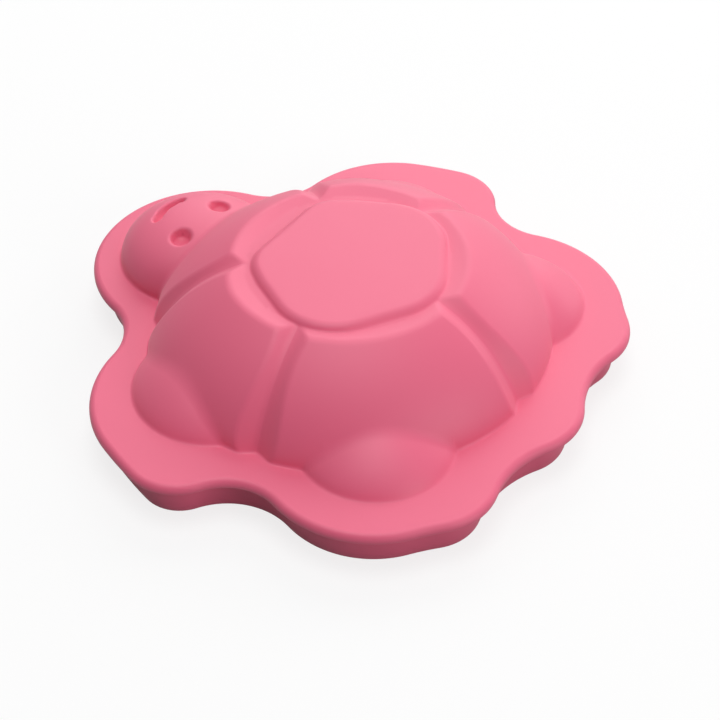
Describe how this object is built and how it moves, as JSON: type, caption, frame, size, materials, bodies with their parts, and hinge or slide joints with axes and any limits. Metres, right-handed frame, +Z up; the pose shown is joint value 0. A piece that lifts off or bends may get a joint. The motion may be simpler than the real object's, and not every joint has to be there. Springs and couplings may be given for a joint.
{
  "type": "sand mould",
  "caption": "Turtle-shaped silicone sand mould: domed relief with grooved shell, head and legs on a wavy flange with a skirt, hollow and open underneath.",
  "frame": {"origin": "middle of the box round the mould, on the ground under the skirt", "axes": "+Z up, away from the open side; the head points to -X and the turtle's left side is at -Y"},
  "size_m": [0.16, 0.163, 0.0386],
  "materials": {
    "silicone": "matt, velvety, coral pink"
  },
  "bodies": {
    "root": {"skirt": "silicone", "flange": "silicone", "shell": "silicone", "head": "silicone", "front_left_leg": "silicone", "front_right_leg": "silicone", "rear_left_leg": "silicone", "rear_right_leg": "silicone"}
  },
  "joints": []
}
